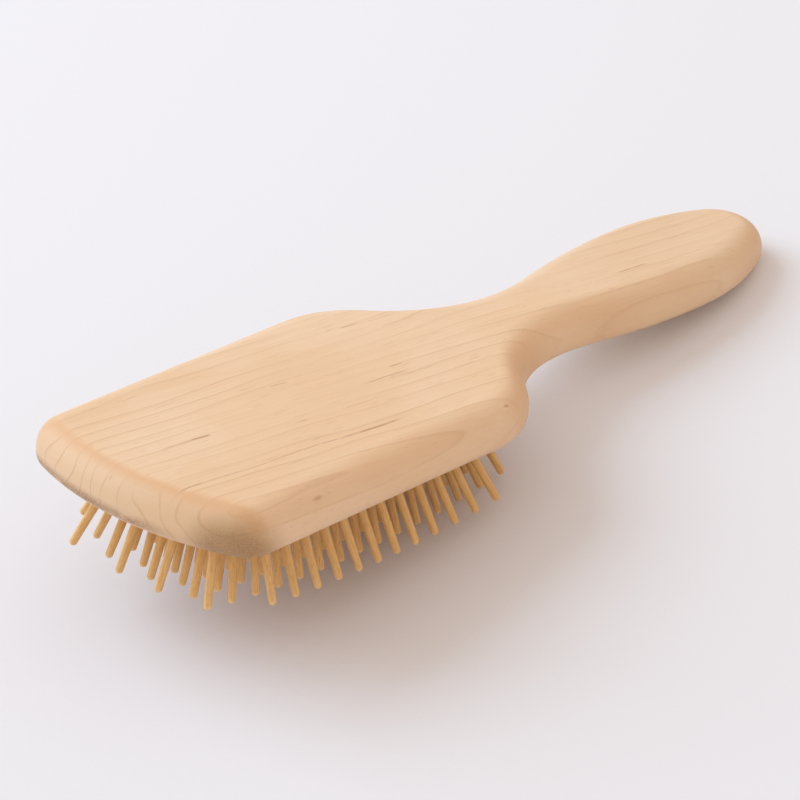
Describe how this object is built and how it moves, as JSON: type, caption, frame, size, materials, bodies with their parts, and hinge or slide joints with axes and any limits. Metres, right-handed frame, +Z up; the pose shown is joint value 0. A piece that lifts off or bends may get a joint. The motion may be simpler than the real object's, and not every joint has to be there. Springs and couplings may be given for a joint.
{
  "type": "paddle hair brush",
  "caption": "Wooden paddle hair brush: flat one-piece body with a waisted handle, a domed rubber air cushion and rows of round-tipped wooden pins.",
  "frame": {"origin": "centre of the bounding box's bottom face, on the surface the brush rests on", "axes": "+X from the front of the head to the end of the handle, +Y across the head, +Z up; the brush lies pins down, its handle end and rearmost pins on z = 0"},
  "size_m": [0.2372, 0.078, 0.0493],
  "materials": {
    "body_wood": "satin, pale maple",
    "cushion_rubber": "matte, tan natural rubber",
    "pin_wood": "satin, oiled hornbeam"
  },
  "bodies": {
    "body": {"wooden_body": "body_wood"},
    "cushion": {"air_cushion": "cushion_rubber"},
    "row_01": {"pin_row_01": "pin_wood"},
    "row_02": {"pin_row_02": "pin_wood"},
    "row_03": {"pin_row_03": "pin_wood"},
    "row_04": {"pin_row_04": "pin_wood"},
    "row_05": {"pin_row_05": "pin_wood"},
    "row_06": {"pin_row_06": "pin_wood"},
    "row_07": {"pin_row_07": "pin_wood"},
    "row_08": {"pin_row_08": "pin_wood"},
    "row_09": {"pin_row_09": "pin_wood"},
    "row_10": {"pin_row_10": "pin_wood"},
    "row_11": {"pin_row_11": "pin_wood"},
    "row_12": {"pin_row_12": "pin_wood"},
    "row_13": {"pin_row_13": "pin_wood"},
    "row_14": {"pin_row_14": "pin_wood"},
    "row_15": {"pin_row_15": "pin_wood"},
    "row_16": {"pin_row_16": "pin_wood"},
    "row_17": {"pin_row_17": "pin_wood"},
    "row_18": {"pin_row_18": "pin_wood"},
    "row_19": {"pin_row_19": "pin_wood"},
    "row_20": {"pin_row_20": "pin_wood"},
    "row_21": {"pin_row_21": "pin_wood"},
    "row_22": {"pin_row_22": "pin_wood"},
    "row_23": {"pin_row_23": "pin_wood"},
    "row_24": {"pin_row_24": "pin_wood"},
    "row_25": {"pin_row_25": "pin_wood"},
    "row_26": {"pin_row_26": "pin_wood"},
    "row_27": {"pin_row_27": "pin_wood"},
    "row_28": {"pin_row_28": "pin_wood"},
    "row_29": {"pin_row_29": "pin_wood"}
  },
  "joints": [
    {"name": "cushion_press", "type": "slide", "parent": "body", "child": "cushion", "axis": [0.1643, 0, 0.9864], "range_m": [0, 0.003], "stiffness_N_per_m": 1500, "deforming": ["air_cushion"]},
    {"name": "pin_row_01_rock", "type": "hinge", "parent": "cushion", "child": "row_01", "pos_m": [-0.10434, 0, 0.03298], "axis": [0, 1, 0], "range_deg": [-8, 8], "stiffness_Nm_per_rad": 0.108, "deforming": ["air_cushion"]},
    {"name": "pin_row_02_rock", "type": "hinge", "parent": "cushion", "child": "row_02", "pos_m": [-0.10117, 0, 0.03189], "axis": [0, 1, 0], "range_deg": [-8, 8], "stiffness_Nm_per_rad": 0.081, "deforming": ["air_cushion"]},
    {"name": "pin_row_03_rock", "type": "hinge", "parent": "cushion", "child": "row_03", "pos_m": [-0.09791, 0, 0.03134], "axis": [0, 1, 0], "range_deg": [-8, 8], "stiffness_Nm_per_rad": 0.108, "deforming": ["air_cushion"]},
    {"name": "pin_row_04_rock", "type": "hinge", "parent": "cushion", "child": "row_04", "pos_m": [-0.09463, 0, 0.03089], "axis": [0, 1, 0], "range_deg": [-8, 8], "stiffness_Nm_per_rad": 0.135, "deforming": ["air_cushion"]},
    {"name": "pin_row_05_rock", "type": "hinge", "parent": "cushion", "child": "row_05", "pos_m": [-0.09146, 0, 0.02979], "axis": [0, 1, 0], "range_deg": [-8, 8], "stiffness_Nm_per_rad": 0.108, "deforming": ["air_cushion"]},
    {"name": "pin_row_06_rock", "type": "hinge", "parent": "cushion", "child": "row_06", "pos_m": [-0.08818, 0, 0.02938], "axis": [0, 1, 0], "range_deg": [-8, 8], "stiffness_Nm_per_rad": 0.135, "deforming": ["air_cushion"]},
    {"name": "pin_row_07_rock", "type": "hinge", "parent": "cushion", "child": "row_07", "pos_m": [-0.085, 0, 0.02832], "axis": [0, 1, 0], "range_deg": [-8, 8], "stiffness_Nm_per_rad": 0.108, "deforming": ["air_cushion"]},
    {"name": "pin_row_08_rock", "type": "hinge", "parent": "cushion", "child": "row_08", "pos_m": [-0.08171, 0, 0.02796], "axis": [0, 1, 0], "range_deg": [-8, 8], "stiffness_Nm_per_rad": 0.135, "deforming": ["air_cushion"]},
    {"name": "pin_row_09_rock", "type": "hinge", "parent": "cushion", "child": "row_09", "pos_m": [-0.07853, 0, 0.02694], "axis": [0, 1, 0], "range_deg": [-8, 8], "stiffness_Nm_per_rad": 0.108, "deforming": ["air_cushion"]},
    {"name": "pin_row_10_rock", "type": "hinge", "parent": "cushion", "child": "row_10", "pos_m": [-0.07523, 0, 0.02662], "axis": [0, 1, 0], "range_deg": [-8, 8], "stiffness_Nm_per_rad": 0.135, "deforming": ["air_cushion"]},
    {"name": "pin_row_11_rock", "type": "hinge", "parent": "cushion", "child": "row_11", "pos_m": [-0.07204, 0, 0.02564], "axis": [0, 1, 0], "range_deg": [-8, 8], "stiffness_Nm_per_rad": 0.108, "deforming": ["air_cushion"]},
    {"name": "pin_row_12_rock", "type": "hinge", "parent": "cushion", "child": "row_12", "pos_m": [-0.06873, 0, 0.02536], "axis": [0, 1, 0], "range_deg": [-8, 8], "stiffness_Nm_per_rad": 0.135, "deforming": ["air_cushion"]},
    {"name": "pin_row_13_rock", "type": "hinge", "parent": "cushion", "child": "row_13", "pos_m": [-0.06553, 0, 0.02443], "axis": [0, 1, 0], "range_deg": [-8, 8], "stiffness_Nm_per_rad": 0.108, "deforming": ["air_cushion"]},
    {"name": "pin_row_14_rock", "type": "hinge", "parent": "cushion", "child": "row_14", "pos_m": [-0.06222, 0, 0.02419], "axis": [0, 1, 0], "range_deg": [-8, 8], "stiffness_Nm_per_rad": 0.135, "deforming": ["air_cushion"]},
    {"name": "pin_row_15_rock", "type": "hinge", "parent": "cushion", "child": "row_15", "pos_m": [-0.05902, 0, 0.0233], "axis": [0, 1, 0], "range_deg": [-8, 8], "stiffness_Nm_per_rad": 0.108, "deforming": ["air_cushion"]},
    {"name": "pin_row_16_rock", "type": "hinge", "parent": "cushion", "child": "row_16", "pos_m": [-0.0557, 0, 0.0231], "axis": [0, 1, 0], "range_deg": [-8, 8], "stiffness_Nm_per_rad": 0.135, "deforming": ["air_cushion"]},
    {"name": "pin_row_17_rock", "type": "hinge", "parent": "cushion", "child": "row_17", "pos_m": [-0.05248, 0, 0.02226], "axis": [0, 1, 0], "range_deg": [-8, 8], "stiffness_Nm_per_rad": 0.108, "deforming": ["air_cushion"]},
    {"name": "pin_row_18_rock", "type": "hinge", "parent": "cushion", "child": "row_18", "pos_m": [-0.04916, 0, 0.0221], "axis": [0, 1, 0], "range_deg": [-8, 8], "stiffness_Nm_per_rad": 0.135, "deforming": ["air_cushion"]},
    {"name": "pin_row_19_rock", "type": "hinge", "parent": "cushion", "child": "row_19", "pos_m": [-0.04594, 0, 0.0213], "axis": [0, 1, 0], "range_deg": [-8, 8], "stiffness_Nm_per_rad": 0.108, "deforming": ["air_cushion"]},
    {"name": "pin_row_20_rock", "type": "hinge", "parent": "cushion", "child": "row_20", "pos_m": [-0.0426, 0, 0.02118], "axis": [0, 1, 0], "range_deg": [-8, 8], "stiffness_Nm_per_rad": 0.135, "deforming": ["air_cushion"]},
    {"name": "pin_row_21_rock", "type": "hinge", "parent": "cushion", "child": "row_21", "pos_m": [-0.03938, 0, 0.02042], "axis": [0, 1, 0], "range_deg": [-8, 8], "stiffness_Nm_per_rad": 0.108, "deforming": ["air_cushion"]},
    {"name": "pin_row_22_rock", "type": "hinge", "parent": "cushion", "child": "row_22", "pos_m": [-0.03604, 0, 0.02035], "axis": [0, 1, 0], "range_deg": [-8, 8], "stiffness_Nm_per_rad": 0.135, "deforming": ["air_cushion"]},
    {"name": "pin_row_23_rock", "type": "hinge", "parent": "cushion", "child": "row_23", "pos_m": [-0.03281, 0, 0.01963], "axis": [0, 1, 0], "range_deg": [-8, 8], "stiffness_Nm_per_rad": 0.108, "deforming": ["air_cushion"]},
    {"name": "pin_row_24_rock", "type": "hinge", "parent": "cushion", "child": "row_24", "pos_m": [-0.02946, 0, 0.0196], "axis": [0, 1, 0], "range_deg": [-8, 8], "stiffness_Nm_per_rad": 0.135, "deforming": ["air_cushion"]},
    {"name": "pin_row_25_rock", "type": "hinge", "parent": "cushion", "child": "row_25", "pos_m": [-0.02622, 0, 0.01892], "axis": [0, 1, 0], "range_deg": [-8, 8], "stiffness_Nm_per_rad": 0.108, "deforming": ["air_cushion"]},
    {"name": "pin_row_26_rock", "type": "hinge", "parent": "cushion", "child": "row_26", "pos_m": [-0.02286, 0, 0.01894], "axis": [0, 1, 0], "range_deg": [-8, 8], "stiffness_Nm_per_rad": 0.135, "deforming": ["air_cushion"]},
    {"name": "pin_row_27_rock", "type": "hinge", "parent": "cushion", "child": "row_27", "pos_m": [-0.01962, 0, 0.0183], "axis": [0, 1, 0], "range_deg": [-8, 8], "stiffness_Nm_per_rad": 0.108, "deforming": ["air_cushion"]},
    {"name": "pin_row_28_rock", "type": "hinge", "parent": "cushion", "child": "row_28", "pos_m": [-0.01635, 0, 0.01776], "axis": [0, 1, 0], "range_deg": [-8, 8], "stiffness_Nm_per_rad": 0.081, "deforming": ["air_cushion"]},
    {"name": "pin_row_29_rock", "type": "hinge", "parent": "cushion", "child": "row_29", "pos_m": [-0.013, 0, 0.01776], "axis": [0, 1, 0], "range_deg": [-8, 8], "stiffness_Nm_per_rad": 0.108, "deforming": ["air_cushion"]}
  ]
}
